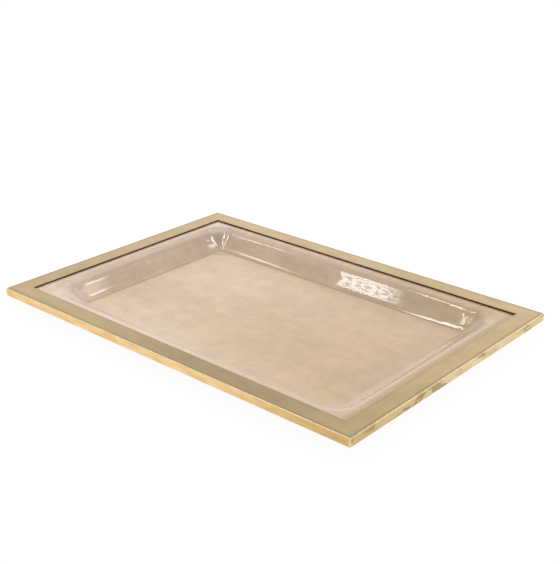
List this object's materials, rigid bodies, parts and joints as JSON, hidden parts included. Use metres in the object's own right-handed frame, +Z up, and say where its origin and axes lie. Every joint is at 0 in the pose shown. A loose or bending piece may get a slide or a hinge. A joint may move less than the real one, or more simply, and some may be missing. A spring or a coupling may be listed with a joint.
{
  "type": "serving tray",
  "caption": "Rectangular serving tray: a wide mitred brass frame round a shallow translucent acrylic well with sloped walls and a flat floor.",
  "frame": {"origin": "on the surface that the tray stands on, under the middle of the well's flat floor", "axes": "+X along the long sides, +Y along the short sides away from the front, +Z up"},
  "size_m": [0.6, 0.422, 0.0294],
  "materials": {
    "frame_brass": "satin brass, polished on its outer edges",
    "bronze_acrylic": "glossy pale bronze translucent acrylic",
    "plate_brass": "mill finish brass",
    "screw_brass": "turned brass"
  },
  "bodies": {
    "root": {"rail_front": "frame_brass", "rail_back": "frame_brass", "rail_left": "frame_brass", "rail_right": "frame_brass", "acrylic_well": "bronze_acrylic", "corner_plate_front_left": "plate_brass", "corner_plate_front_right": "plate_brass", "corner_plate_back_left": "plate_brass", "corner_plate_back_right": "plate_brass", "clamp_strip_front": "plate_brass", "clamp_strip_back": "plate_brass", "clamp_strip_left": "plate_brass", "clamp_strip_right": "plate_brass", "corner_screw_01": "screw_brass", "corner_screw_02": "screw_brass", "corner_screw_03": "screw_brass", "corner_screw_04": "screw_brass", "corner_screw_05": "screw_brass", "corner_screw_06": "screw_brass", "corner_screw_07": "screw_brass", "corner_screw_08": "screw_brass", "corner_screw_09": "screw_brass", "corner_screw_10": "screw_brass", "corner_screw_11": "screw_brass", "corner_screw_12": "screw_brass", "corner_screw_13": "screw_brass", "corner_screw_14": "screw_brass", "corner_screw_15": "screw_brass", "corner_screw_16": "screw_brass", "strip_screw_01": "screw_brass", "strip_screw_02": "screw_brass", "strip_screw_03": "screw_brass", "strip_screw_04": "screw_brass", "strip_screw_05": "screw_brass", "strip_screw_06": "screw_brass", "strip_screw_07": "screw_brass", "strip_screw_08": "screw_brass", "strip_screw_09": "screw_brass", "strip_screw_10": "screw_brass"}
  },
  "joints": []
}
